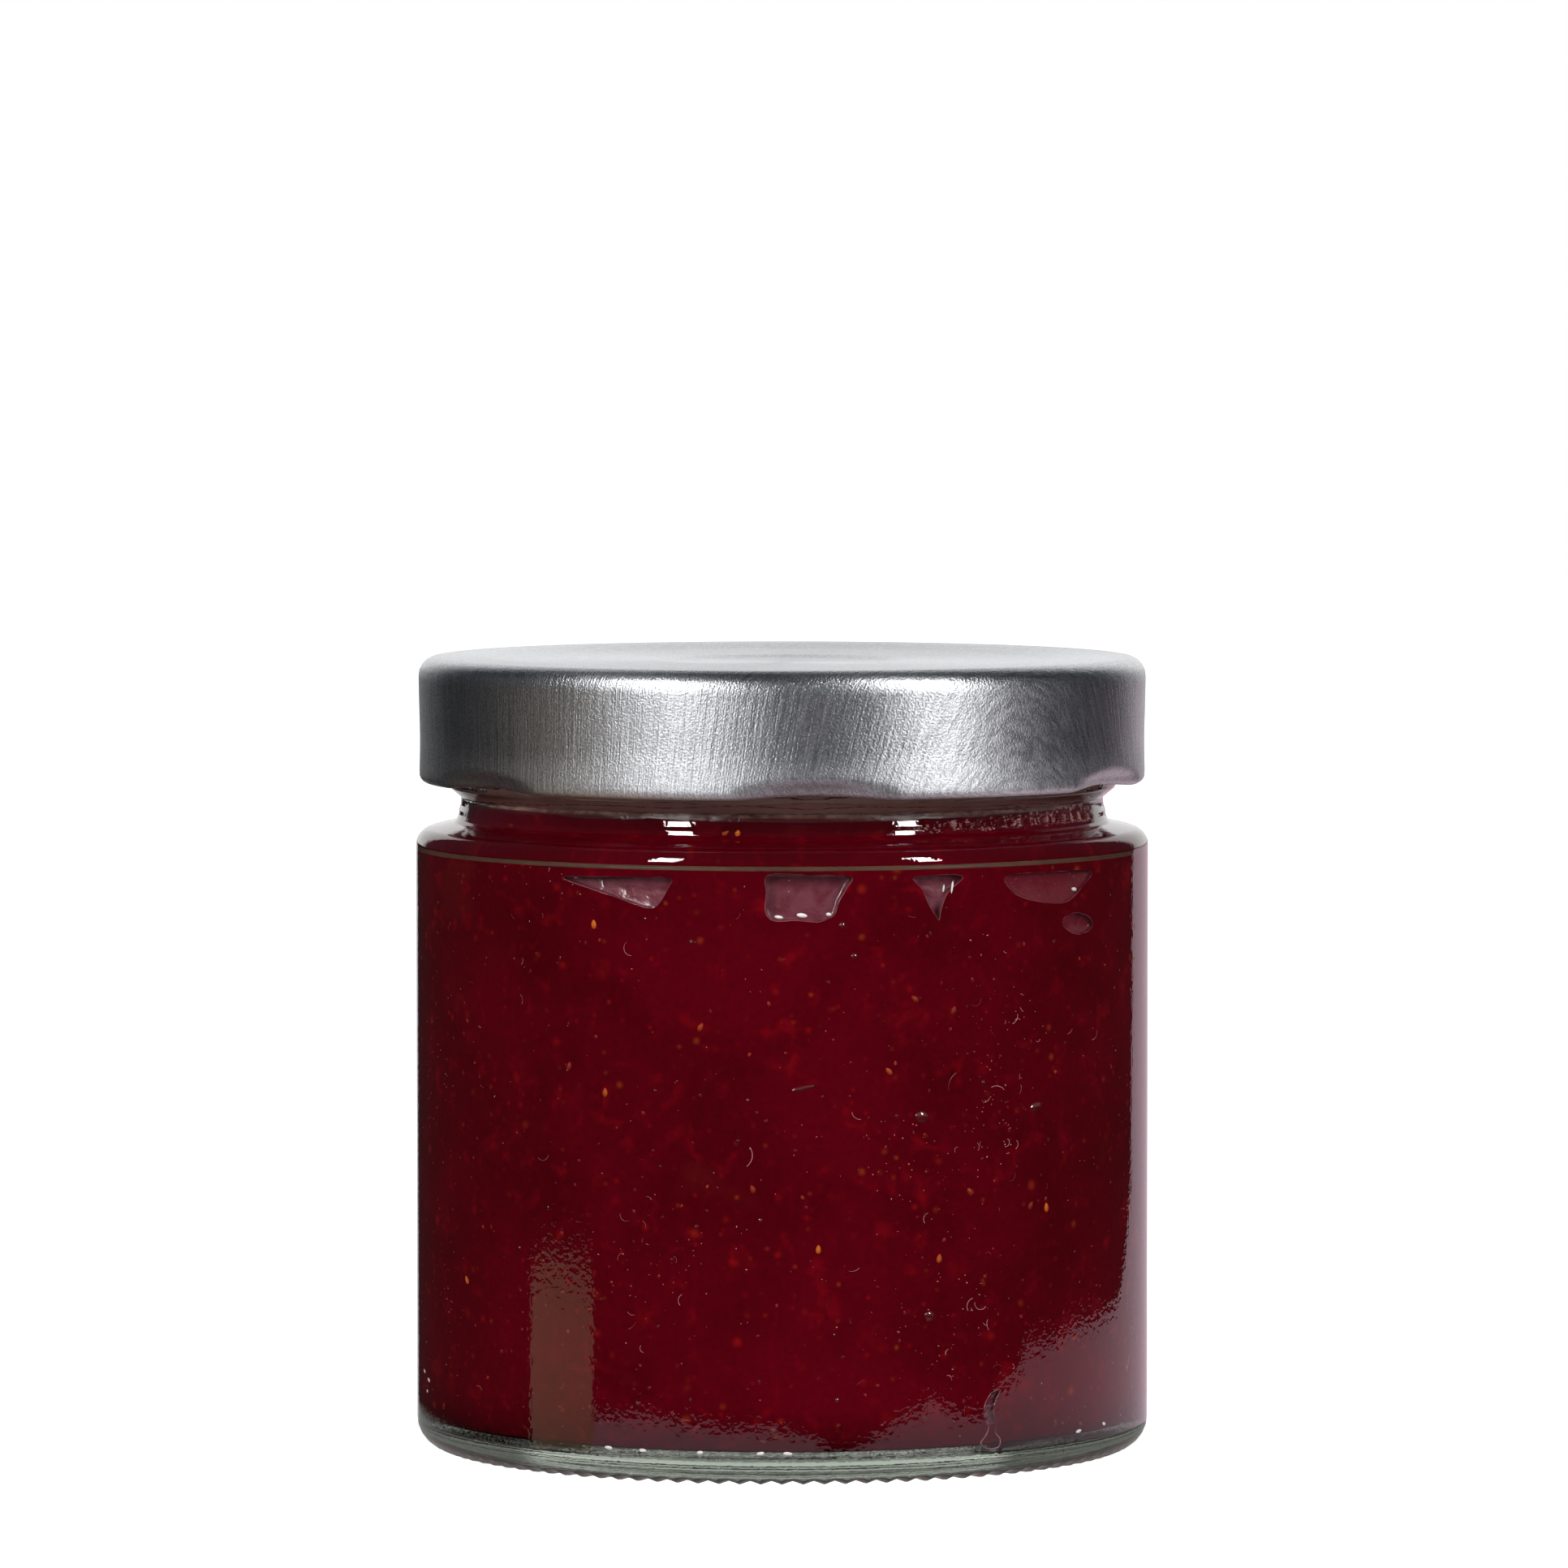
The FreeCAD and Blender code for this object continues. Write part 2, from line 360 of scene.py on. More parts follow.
# Bevels the ring of edges at a profile corner to an arc of the corner's round
def roundRing(piece, last, ring, following, steps):
    toLast = Vector((last[0] - ring[0], last[1] - ring[1])).normalized()
    toNext = Vector((following[0] - ring[0], following[1] - ring[1])).normalized()
    tangent = ring[2] / tan(toLast.angle(toNext) / 2)
    selectRing(piece, ring)
    bpy.ops.mesh.bevel(
        offset_type="OFFSET", offset=tangent * mm, segments=steps, profile=0.5, affect="EDGES",
        clamp_overlap=False,
    )


# Makes long flat faces decide the smooth normals beside them, so that reflections stay straight
def settleNormals(piece):
    bpy.ops.object.select_all(action="DESELECT")
    piece.select_set(True)
    bpy.context.view_layer.objects.active = piece
    bpy.ops.object.shade_smooth()
    weighted = piece.modifiers.new("settleNormals", "WEIGHTED_NORMAL")
    weighted.weight = 100
    bpy.ops.object.modifier_apply(modifier=weighted.name)


# Ring after ring extruded along a profile, with its corners rounded. Both ends are closed on the axis
def turnedPiece(name, rings, sides, steps):
    piece = newRing(name, rings[0][0], rings[0][1], sides)
    bpy.ops.object.mode_set(mode="EDIT")
    bpy.ops.mesh.select_mode(type="VERT")
    bpy.ops.mesh.select_all(action="SELECT")
    for last, ring in zip(rings, rings[1:]):
        extrudeRing(last, ring)
    for end in (rings[0], rings[-1]):
        selectRing(piece, end)
        bpy.ops.mesh.extrude_region_move()
        bpy.ops.mesh.merge(type="CENTER")
    for last, ring, following in zip(rings, rings[1:], rings[2:]):
        if ring[2]:
            roundRing(piece, last, ring, following, steps)
    bpy.ops.mesh.select_all(action="SELECT")
    bpy.ops.mesh.normals_make_consistent(inside=False)
    bpy.ops.object.mode_set(mode="OBJECT")
    return piece


profile = glassSizes["outside"] + glassSizes["inside"]
glassPiece = turnedPiece("clear_jar", profile, glassSizes["sides"], glassSizes["roundSteps"])
bpy.ops.object.mode_set(mode="EDIT")

# Bars across the standing ring: the vertices between them are lifted
pitch = 360 / glassSizes["bars"]


def betweenBars(radius, height, azimuth, gap):
    inner, outer = glassSizes["barsLie"]
    phase = (azimuth / pitch) % 1
    return inner < radius < outer and height < glassSizes["barsBelow"] and abs(phase - 0.5) < gap


for gap in glassSizes["barGaps"]:
    selectWhere(glassPiece, lambda r, z, a: betweenBars(r, z, a, gap))
    bpy.ops.transform.translate(value=(0, 0, glassSizes["barDepth"] / len(glassSizes["barGaps"]) * mm))

# Thread ramps: parts of the wall pulled out in narrowing steps, then sloped
finishRadius, rampEase, rampParts = (glassSizes[size] for size in ("finishRadius", "rampEase", "rampParts"))
pull = 1 + glassSizes["rampReach"] / len(rampEase) / finishRadius
for number in range(glassSizes["ramps"]):
    middle = glassSizes["firstRamp"] + 360 / glassSizes["ramps"] * number

    def offRamp(azimuth):
        return (azimuth - middle + 180) % 360 - 180

    low, high = glassSizes["rampRows"]
    for ease in rampEase:
        half = glassSizes["rampArc"] / 2 - ease
        selectWhere(glassPiece, lambda r, z, a: r > 38 and low < z < high and abs(offRamp(a)) < half)
        bpy.ops.transform.resize(value=(pull, pull, 1), center_override=(0, 0, 0))
    low, high = glassSizes["slopeRows"]
    for part in range(-(rampParts // 2), rampParts // 2 + 1):
        centre = part * glassSizes["rampArc"] / rampParts
        half = glassSizes["rampArc"] / rampParts / 2
        selectWhere(
            glassPiece,
            lambda r, z, a: r > finishRadius + 0.1 and low < z < high and abs(offRamp(a) - centre) < half,
        )
        bpy.ops.transform.translate(value=(0, 0, glassSizes["rampLead"] * part / (rampParts // 2) * mm))
bpy.ops.object.mode_set(mode="OBJECT")
settleNormals(glassPiece)

print("stage 3: jam")

jamRadius = 40.8  # 0.1 into the glass wall, so that no air shows between them
neckRadius = 35.45
jamSizes = {
    "sides": 260,
    "roundSteps": 5,
    # radius, height, round
    "outline": [
        (8, 5.47, 0), (22, 5.47, 60), (36.2, 3.83, 0.5), (36.6, 3.60, 0), (jamRadius, 3.10, 5.0),
        *((jamRadius, height, 0) for height in (9, 20, 40, 60, 69.3, 70.22)), (jamRadius, 70.66, 0.3),
        (neckRadius, 71.80, 2.9), (neckRadius, 73.6, 0), (neckRadius, 75.6, 0), (34.9, 75.65, 0),
        (33.6, 75.75, 0), *((radius, 75.7, 0) for radius in (31, 27, 22, 16, 8)),
    ],
    "wetFrom": 74,  # faces above this that look up are wet
    "levelFrom": 74.5,  # vertices above this are its level
    "levelWaves": (0.34, 0.16),  # broad and fine unevenness
    "levelDrop": 0.15,
    "dip": {"azimuth": 5, "width": 7, "depth": 0.75},  # lowest a little right of the front
    "cornerBand": (70.23, 70.80),  # height of the thin jam in the corner under the shoulder
    "cornerFrom": 40.2,
    "smoothBelow": 32,  # degrees
}

# Air caught between the jam and the glass: outlines as (azimuth, height), and how deep the jam lies there
airPockets = {
    "leftWedge": {"depth": 1.1, "outline": [
        (-37.0, 69.0), (-29.5, 69.3), (-21.5, 69.4), (-17.6, 69.3), (-18.3, 68.0), (-19.1, 66.9),
        (-20.0, 66.1), (-21.2, 65.8), (-23.2, 66.1), (-26.8, 66.9), (-32.0, 67.9)]},
    "wideFront": {"depth": 1.3, "outline": [
        (-2.2, 69.8), (-2.5, 67.8), (-2.7, 65.8), (-2.1, 64.9), (-0.8, 64.5), (2.0, 64.6), (5.4, 64.4),
        (7.1, 64.7), (8.4, 65.3), (9.0, 66.6), (10.2, 68.2), (10.8, 69.6), (4.0, 69.8)]},
    "tongue": {"depth": 1.0, "outline": [
        (21.2, 69.4), (22.6, 67.9), (23.7, 66.1), (24.9, 64.9), (25.5, 64.4), (25.9, 65.7), (27.0, 67.5),
        (29.6, 69.4)]},
    "faintRight": {"depth": 0.6, "faint": True, "outline": [
        (38.0, 69.2), (38.6, 67.6), (41.0, 66.6), (45.0, 65.9), (50.4, 65.6), (54.0, 66.6), (58.1, 69.0),
        (48.0, 69.3)]},
    "smallRight": {"depth": 0.6, "faint": True, "outline": [
        (50.4, 63.8), (53.6, 64.4), (57.6, 63.7), (58.4, 62.5), (54.7, 61.8), (51.2, 62.6)]},
    "footChannel": {"depth": 0.7, "rim": 0.07, "outline": [
        (36.9, 10.2), (35.0, 9.8), (33.8, 8.5), (33.8, 7.1), (34.6, 6.0), (34.0, 5.0), (33.1, 4.2),
        (34.4, 3.5), (36.5, 3.6), (36.8, 4.5), (35.9, 5.3), (36.1, 6.5), (35.5, 7.7), (36.0, 9.0)]},
    "backLeft": {"depth": 1.0, "outline": [
        (-128, 69.2), (-127, 66.9), (-122, 65.6), (-117, 66.2), (-113.5, 67.6), (-112, 69.2)]},
    "backMiddle": {"depth": 1.1, "outline": [
        (171, 69.3), (172.5, 66.4), (176, 64.9), (181, 65.3), (185, 66.8), (190, 67.6), (193, 69.3)]},
    "backRight": {"depth": 0.9, "outline": [
        (114, 69.2), (116, 67.0), (119.5, 65.9), (123, 67.3), (125.5, 69.2)]},
}
pocketLook = {
    "cutFrom": 41.6,  # radius, within the glass wall
    "drawn": 4,  # points drawn for each point of an outline
    "rounding": 0.42,  # share of the depth
    "rimRadius": 40.76,
    "rim": 0.034,
}

jamPiece = turnedPiece("jam_fill", jamSizes["outline"], jamSizes["sides"], jamSizes["roundSteps"])

for vertex in jamPiece.data.vertices:
    x, y, z = vertex.co / mm
    if z > jamSizes["levelFrom"]:
        broad, fine = jamSizes["levelWaves"]
        waves = broad * noise.noise(Vector((x, y, 7)) * 0.12) + fine * noise.noise(Vector((x, y, 3)) * 0.5)
        dip = jamSizes["dip"]
        nearness = exp(-((degrees(atan2(x, -y)) - dip["azimuth"]) / dip["width"]) ** 2)
        sunk = dip["depth"] * nearness * max(0, hypot(x, y) / neckRadius) ** 6
        vertex.co.z += (waves - sunk - jamSizes["levelDrop"]) * mm


# Solid with an outline wrapped round the jam, from within the glass wall inwards
def pocketCutter(name, outline, depth):
    count = len(outline)
    points = count * pocketLook["drawn"]
    cutter = newPiece(
        name, bpy.ops.mesh.primitive_circle_add, vertices=points, radius=1, fill_type="NGON"
    )
    for number, vertex in enumerate(cutter.data.vertices):
        # Smooth closed line through the outline's points
        start, share = divmod(number / pocketLook["drawn"], 1)
        a, b, c, d = (outline[(int(start) + step) % count] for step in (-1, 0, 1, 2))
        azimuth, height = (
            0.5 * (2 * q + (r - p) * share + (2 * p - 5 * q + 4 * r - s) * share ** 2
                   + (3 * q - p - 3 * r + s) * share ** 3)
            for p, q, r, s in zip(a, b, c, d)
        )
        vertex.co = around(azimuth, pocketLook["cutFrom"], height) * mm
    bpy.ops.object.mode_set(mode="EDIT")
    bpy.ops.mesh.select_all(action="SELECT")
    bpy.ops.mesh.extrude_region_move()
    inward = (jamRadius - depth) / pocketLook["cutFrom"]
    bpy.ops.transform.resize(value=(inward, inward, 1), center_override=(0, 0, 0))
    bpy.ops.mesh.bevel(
        offset=depth * pocketLook["rounding"] * mm, segments=3, profile=0.5, affect="EDGES",
        clamp_overlap=True,
    )
    bpy.ops.mesh.select_all(action="SELECT")
    bpy.ops.mesh.normals_make_consistent(inside=False)
    bpy.ops.object.mode_set(mode="OBJECT")
    return cutter


# Bead of jam that clings to the glass round a pocket; its pale colour is painted highlight
def pocketRim(cutter, pocket):
    points = len(pocket["outline"]) * pocketLook["drawn"]
    rim = newPiece("rim", bpy.ops.mesh.primitive_circle_add, vertices=points, radius=1)
    for vertex, source in zip(rim.data.vertices, cutter.data.vertices):
        vertex.co = source.co * (pocketLook["rimRadius"] / pocketLook["cutFrom"])
        vertex.co.z = source.co.z
    bpy.ops.object.convert(target="CURVE")
    rim.data.bevel_depth = pocket.get("rim", pocketLook["rim"]) * mm
    rim.data.bevel_resolution = 1
    bpy.ops.object.convert(target="MESH")
    return rim


cutters = [pocketCutter(name, pocket["outline"], pocket["depth"]) for name, pocket in airPockets.items()]
rims = [pocketRim(cutter, pocket) for cutter, pocket in zip(cutters, airPockets.values())]
jamMaterial, wetMaterial, cornerMaterial, faintMaterial = (
    bpy.data.materials.new(name) for name in ("red_jam", "wet_jam", "jam_corner", "faint_jam")
)
for material in (jamMaterial, wetMaterial, cornerMaterial):
    jamPiece.data.materials.append(material)
cornerLow, cornerHigh = jamSizes["cornerBand"]
for face in jamPiece.data.polygons:
    x, y, z = face.center / mm
    if face.normal.z > 0.5 and z > jamSizes["wetFrom"]:
        face.material_index = 1
    elif cornerLow < z < cornerHigh and hypot(x, y) > jamSizes["cornerFrom"]:
        face.material_index = 2
for cutter, pocket in zip(cutters, airPockets.values()):
    cutter.data.materials.append(faintMaterial if "faint" in pocket else wetMaterial)
bpy.ops.object.select_all(action="DESELECT")
for cutter in cutters:
    cutter.select_set(True)
bpy.context.view_layer.objects.active = cutters[0]
bpy.ops.object.join()
pocketTool = bpy.context.active_object
bpy.ops.object.select_all(action="DESELECT")
jamPiece.select_set(True)
bpy.context.view_layer.objects.active = jamPiece
cut = jamPiece.modifiers.new("airPockets", "BOOLEAN")
cut.operation = "DIFFERENCE"
cut.solver = "EXACT"
cut.material_mode = "TRANSFER"
cut.object = pocketTool
bpy.ops.object.modifier_apply(modifier=cut.name)
bpy.data.objects.remove(pocketTool)
bpy.ops.object.shade_smooth_by_angle(angle=radians(jamSizes["smoothBelow"]))

print("stage 4: seeds, bubbles and specks in the jam")

seedLook = {
    "length": 1.05,
    "width": 0.66,
    "depth": 0.48,
    "count": 420,
    "middle": 40.62,  # radius of a seed's middle, so that it shows just inside the glass
    "clearerOut": 0.22,
    "neckIn": 5.35,  # how far further in one in the neck lies
    # azimuth, height, how clearly it shows
    "clear": [
        (-31, 63.8, 1), (-8, 74.0, 0.9), (-10.2, 74.0, 0.6), (46.5, 30.7, 1), (5.7, 27.1, 0.8),
        (25.5, 25.7, 0.65), (-60, 21.5, 0.9), (-29, 44.6, 0.6), (-35.7, 47.4, 0.4), (-12.9, 52.4, 0.5),
        (17, 47.3, 0.55), (-4.6, 34, 0.4), (31, 33.2, 0.45), (43, 31.1, 0.35), (28, 54, 0.35),
        (21.3, 55.5, 0.4), (118, 40, 0.9), (-95, 34, 0.9), (150, 22, 0.8), (-140, 51, 1), (-165, 30, 0.8),
        (176, 46, 0.9), (88, 55, 0.7), (-112, 14, 0.7),
    ],
}


def joinPieces(copies, name):
    bpy.ops.object.select_all(action="DESELECT")
    for copy in copies:
        copy.select_set(True)
    bpy.context.view_layer.objects.active = copies[0]
    bpy.ops.object.join()
    piece = bpy.context.active_object
    piece.name = name
    piece.data.name = name
    return piece


rimsPiece = joinPieces(rims, "pocket_rims")
bpy.ops.object.shade_smooth()


# Sets an attribute on all vertices of a piece
def mark(piece, name, number):
    layer = piece.data.attributes.get(name) or piece.data.attributes.new(name, "FLOAT", "POINT")
    for value in layer.data:
        value.value = number


# Copy of a small piece with its own mesh, its place put into the mesh
def copyTo(source, place):
    copy = source.copy()
    copy.data = source.data.copy()
    copy.data.transform(place)
    scene.collection.objects.link(copy)
    return copy


# Matrix that lays a small piece, modelled lying in XZ, against the glass and turns it about the outward way
def lyingPlace(azimuth, radius, height, turn, size):
    move = Matrix.Translation(around(azimuth, radius, height) * mm)
    return (
        move
        @ Matrix.Rotation(radians(azimuth), 4, "Z")
        @ Matrix.Rotation(radians(turn), 4, "Y")
        @ Matrix.Diagonal((*size, 1))
    )


# One seed: a ball drawn to a point at its upper end and flattened front to back
newBall = bpy.ops.mesh.primitive_uv_sphere_add
seedModel = newPiece("seedModel", newBall, segments=10, ring_count=7, radius=0.5 * mm)
for vertex in seedModel.data.vertices:
    along = vertex.co.z / mm + 0.5
    slim = 1 - 0.62 * max(0, along - 0.35) ** 1.3
    vertex.co = Vector((
        vertex.co.x * seedLook["width"] * slim,
        vertex.co.y * seedLook["depth"] * slim,
        vertex.co.z * seedLook["length"],
    ))
bpy.ops.object.shade_smooth()

picker = random.Random(11)
seeds = []
for azimuth, height, clearness in seedLook["clear"]:
    radius = seedLook["middle"] + seedLook["clearerOut"]
    if height > 70:
        radius -= seedLook["neckIn"]
    place = lyingPlace(azimuth, radius, height, picker.uniform(-50, 50), (1, 1, 1))
    seeds.append(copyTo(seedModel, place))
    mark(seeds[-1], "tone", clearness)
for number in range(seedLook["count"]):
    size = picker.uniform(0.55, 1.05)
    height = 4.5 + 58.5 * picker.random()
    azimuth, turn = (picker.uniform(0, 360) for draw in range(2))
    place = lyingPlace(azimuth, seedLook["middle"], height, turn, (size, 1, size))
    seeds.append(copyTo(seedModel, place))
    mark(seeds[-1], "tone", 0.04 + 0.42 * picker.random() ** 2.4)
seedsPiece = joinPieces(seeds, "jam_seeds")
bpy.data.objects.remove(seedModel)

bubbleLook = {
    "middle": 40.72,
    "rimWidth": 0.045,
    # azimuth, height, width, tallness
    "placed": [
        (11.4, 60.5, 1.05, 0.85), (-14.4, 62.1, 0.8, 0.8), (33.5, 45.6, 0.7, 0.7), (3.3, 45.5, 3.1, 0.75),
        (22.6, 42.0, 2.0, 1.5), (44.3, 42.4, 2.4, 1.3), (23.9, 19.2, 1.5, 1.3), (18.3, 42.2, 0.6, 0.6),
        (-7.0, 39.5, 0.7, 0.6), (9.5, 64.0, 1.0, 1.0), (47, 38.5, 0.6, 0.6), (-40, 31, 0.6, 0.6),
    ],
    "count": 60,
    # painted highlights under the pockets: near-white marks
    "glintsMiddle": 40.85,
    "glints": [
        (-0.5, 65.0, 0.9, 0.35), (3.1, 65.2, 1.1, 0.45), (7.3, 65.3, 0.55, 0.35), (27.7, 68.1, 0.22, 1.3),
        (26.2, 68.0, 0.2, 0.8), (53.2, 67.1, 0.8, 0.4),
    ],
    # small painted highlights where the jam ends at the bottom
    "footMiddle": 40.9,
    "foot": [
        (-28.4, 3.9), (-22.4, 3.8), (-13, 3.8), (-3.4, 3.8), (0.9, 3.8), (54.6, 4.3), (62.2, 4.6), (-76, 8.6),
        (-79, 9.4), (-77, 7.2), (130, 4), (-150, 4), (172, 4),
    ],
}
bubbleBall = newPiece("bubbleBall", newBall, segments=14, ring_count=8, radius=0.5 * mm)
bpy.ops.object.shade_smooth()
bubbleRim = newPiece(
    "bubbleRim", bpy.ops.mesh.primitive_torus_add, major_segments=20, minor_segments=4,
    major_radius=0.50 * mm, minor_radius=bubbleLook["rimWidth"] * mm, rotation=(pi / 2, 0, 0),
)
bpy.ops.object.transform_apply(location=False, rotation=True, scale=False)
bpy.ops.object.shade_smooth()
mark(bubbleBall, "rim", 0)
mark(bubbleRim, "rim", 1)
bubbleModel = joinPieces([bubbleBall, bubbleRim], "bubbleModel")


# Copy of the bubble model coloured near-white: a painted highlight
def paintedHighlight(azimuth, radius, height, turn, size):
    bubbles.append(copyTo(bubbleModel, lyingPlace(azimuth, radius, height, turn, size)))
    mark(bubbles[-1], "rim", 2)


bubbles = []
for azimuth, height, width, tall in bubbleLook["placed"]:
    tilt = -12 if width > 2 else picker.uniform(-20, 20)
    place = lyingPlace(azimuth, bubbleLook["middle"], height, tilt, (width, 0.45, tall))
    bubbles.append(copyTo(bubbleModel, place))
for number in range(bubbleLook["count"]):
    width = picker.uniform(0.3, 0.7)
    place = lyingPlace(
        picker.uniform(0, 360), bubbleLook["middle"], picker.uniform(8, 66), picker.uniform(0, 90),
        (width, 0.3, width * picker.uniform(0.7, 1)),
    )
    bubbles.append(copyTo(bubbleModel, place))
for azimuth, height, width, tall in bubbleLook["glints"]:
    paintedHighlight(azimuth, bubbleLook["glintsMiddle"], height, 8, (width, 0.3, tall))
for azimuth, height in bubbleLook["foot"]:
    turn = picker.uniform(-15, 15)
    paintedHighlight(azimuth, bubbleLook["footMiddle"], height, turn, (picker.uniform(0.6, 1), 0.3, 0.38))
bubblesPiece = joinPieces(bubbles, "jam_bubbles")
bpy.data.objects.remove(bubbleModel)

# Tiny pale specks at the glass, painted highlights
speckLook = {"count": 1300, "clusters": 18, "smallest": 0.05, "largest": 0.12}
newBead = bpy.ops.mesh.primitive_ico_sphere_add
speckModel = newPiece("speckModel", newBead, subdivisions=1, radius=0.5 * mm)
bpy.ops.object.shade_smooth()
clusterSpots = [(33, 45), (34, 39), (36, 53), (21, 20), (31, 18), (-21, 25), (20, 37)]
while len(clusterSpots) < speckLook["clusters"]:
    clusterSpots.append((picker.uniform(60, 300), picker.uniform(12, 64)))


# Azimuth and height of a speck or fibre, at a cluster or anywhere between two heights
def scattered(number, clustered, spread, low, high):
    if clustered:
        azimuth, height = clusterSpots[number % len(clusterSpots)]
        return azimuth + picker.gauss(0, spread), height + picker.gauss(0, spread)
    return picker.uniform(0, 360), picker.uniform(low, high)


specks = []
for number in range(speckLook["count"]):
    azimuth, height = scattered(number, number % 5 < 2, 4, 5, 70)
    size = picker.uniform(speckLook["smallest"], speckLook["largest"])
    turn = picker.uniform(0, 180)
    place = lyingPlace(azimuth, jamRadius, height, turn, (size * picker.uniform(1, 2.4), 0.1, size))
    specks.append(copyTo(speckModel, place))
specksPiece = joinPieces(specks, "jam_specks")
bpy.data.objects.remove(speckModel)

# Thin curled pale strips against the glass; their pale colour is painted highlight
strandLook = {"count": 210, "thickness": 0.028, "middle": 40.81}
strands = []
for number in range(strandLook["count"]):
    azimuth, height = scattered(number, number % 3, 4.5, 6, 66)
    bend = picker.uniform(0.2, 0.9) * picker.choice((1, 1, 2.5))
    sweep = picker.uniform(40, 150) / max(1, bend)
    thickness = strandLook["thickness"] * mm
    strand = newPiece("strand", bpy.ops.mesh.primitive_circle_add, vertices=3, radius=thickness)
    bpy.ops.object.mode_set(mode="EDIT")
    bpy.ops.mesh.select_all(action="SELECT")
    bpy.ops.mesh.spin(steps=7, angle=radians(sweep), center=(bend * mm, 0, 0), axis=(0, 1, 0))
    bpy.ops.object.mode_set(mode="OBJECT")
    turn = picker.uniform(0, 360)
    strand.data.transform(lyingPlace(azimuth, strandLook["middle"], height, turn, (1, 0.8, 1)))
    strands.append(strand)
strandsPiece = joinPieces(strands, "jam_strands")
bpy.ops.object.shade_smooth()

print("stage 5: lid")

lidSizes = {
    "sides": 360,
    "roundSteps": 5,
    # radius, height, round: the outside from the centre down to the rolled edge
    "outline": [
        (6, 92.2, 0), (12.5, 92.2, 2), (14.5, 92.5, 2), (30.8, 92.5, 4), (35.4, 93.0, 3), (42.72, 93.0, 2.25),
        (42.72, 90.2, 0), (42.66, 87.4, 0), (42.60, 85.2, 0), (42.57, 83.6, 0),
    ],
    "rowsAtEdge": 15,  # close rings above the rolled edge, for the lugs
    "edge": (42.57, 83.3, 42.63, 79.8),  # radius and height of the first and the last of them
    "curlCentre": (41.63, 79.2),
    "curlRadius": 1.0,
    "curlSteps": 14,
    "curlTurn": 20,  # degrees a step
    "inside": [
        (42.1, 80.25, 0), (42.12, 92.6, 1.8), (35.6, 92.6, 2), (30.8, 92.1, 2), (14.5, 92.1, 1),
        (12.5, 91.8, 1), (6, 91.8, 0),
    ],
    "lugs": 6,
    "firstLug": 5,
    "lugArc": 13.2,  # degrees each way that the edge is pressed in
    "lugPush": 1.45,
    "lugFoot": 79.0,  # height from where down the edge is pressed in fully
    "lugHead": 80.0,  # where the pressing starts at a lug's ends
    "lugRise": 1.15,  # how much higher it starts at a lug's middle
    "lugLift": 0.45,
    "lugsBelow": 84,
    "lugsOutside": 38,
}
edgeRows = []
for row in range(lidSizes["rowsAtEdge"]):
    share = row / (lidSizes["rowsAtEdge"] - 1)
    topRadius, topHeight, lowRadius, lowHeight = lidSizes["edge"]
    edgeRows.append((
        topRadius + (lowRadius - topRadius) * share ** 2, topHeight + (lowHeight - topHeight) * share, 0
    ))
curl = []
for step in range(lidSizes["curlSteps"]):
    turn = radians(10 - lidSizes["curlTurn"] * step)
    curl.append((
        lidSizes["curlCentre"][0] + lidSizes["curlRadius"] * cos(turn),
        lidSizes["curlCentre"][1] + lidSizes["curlRadius"] * sin(turn),
        0,
    ))
profile = lidSizes["outline"] + edgeRows + curl + lidSizes["inside"]
lidPiece = turnedPiece("silver_lid", profile, lidSizes["sides"], lidSizes["roundSteps"])

# Each lug: the rolled edge eased in and up, with a slope above it that starts along an arch
lugPitch = 360 / lidSizes["lugs"]
for vertex in lidPiece.data.vertices:
    x, y, z = vertex.co / mm
    radius = hypot(x, y)
    azimuth = degrees(atan2(x, -y)) - lidSizes["firstLug"]
    off = abs((azimuth + lugPitch / 2) % lugPitch - lugPitch / 2) / lidSizes["lugArc"]
    if z > lidSizes["lugsBelow"] or radius < lidSizes["lugsOutside"] or off >= 1:
        continue
    arch = (1 - off * off) ** 1.5
    start = lidSizes["lugHead"] + lidSizes["lugRise"] * arch
    slope = max(0, min(1, (start - z) / (start - lidSizes["lugFoot"])))
    slope = slope * slope * (1.6 - 0.6 * slope)
    press = 1 - lidSizes["lugPush"] * arch * slope / radius
    vertex.co.x *= press
    vertex.co.y *= press
    vertex.co.z += lidSizes["lugLift"] * arch * slope * mm
settleNormals(lidPiece)

print("stage 6: froth on the neck")

# Jam that has crept up inside the neck: a thin film that leans off the wall
film = {
    "sides": 240,
    # radius, height
    "outline": [
        (35.42, 74.9), (35.44, 75.3), (35.40, 75.7), (35.28, 76.2), (35.22, 76.6), (35.34, 76.9),
        (35.30, 77.2), (35.38, 77.9), (35.42, 80.4), (35.10, 80.2), (35.0, 77.0), (34.95, 76.0),
        (34.95, 75.4), (35.0, 75.0),
    ],
    "wavesFrom": 75.3,  # height above which its edge grows wavy
    "waves": 0.45,
}
filmPiece = newRing("neck_film", *film["outline"][0], film["sides"])
bpy.ops.object.mode_set(mode="EDIT")
bpy.ops.mesh.select_all(action="SELECT")
for last, ring in zip(film["outline"], film["outline"][1:] + film["outline"][:1]):
    extrudeRing(last, ring)
bpy.ops.mesh.select_all(action="SELECT")
bpy.ops.mesh.remove_doubles(threshold=0.00001)
bpy.ops.mesh.normals_make_consistent(inside=False)
bpy.ops.object.mode_set(mode="OBJECT")
for vertex in filmPiece.data.vertices:
    x, y, z = vertex.co / mm
    wave = noise.noise(Vector((x * 0.22, y * 0.22, 5))) + 0.6 * noise.noise(Vector((x * 0.8, y * 0.8, z)))
    vertex.co.z += film["waves"] * wave * max(0, min(1, (z - film["wavesFrom"]) / 2)) * mm
    lean = 1 + 0.0012 * noise.noise(Vector((x, y, z)) * 1.7) - 0.0004
    vertex.co.x *= lean
    vertex.co.y *= lean
bpy.ops.object.shade_smooth()
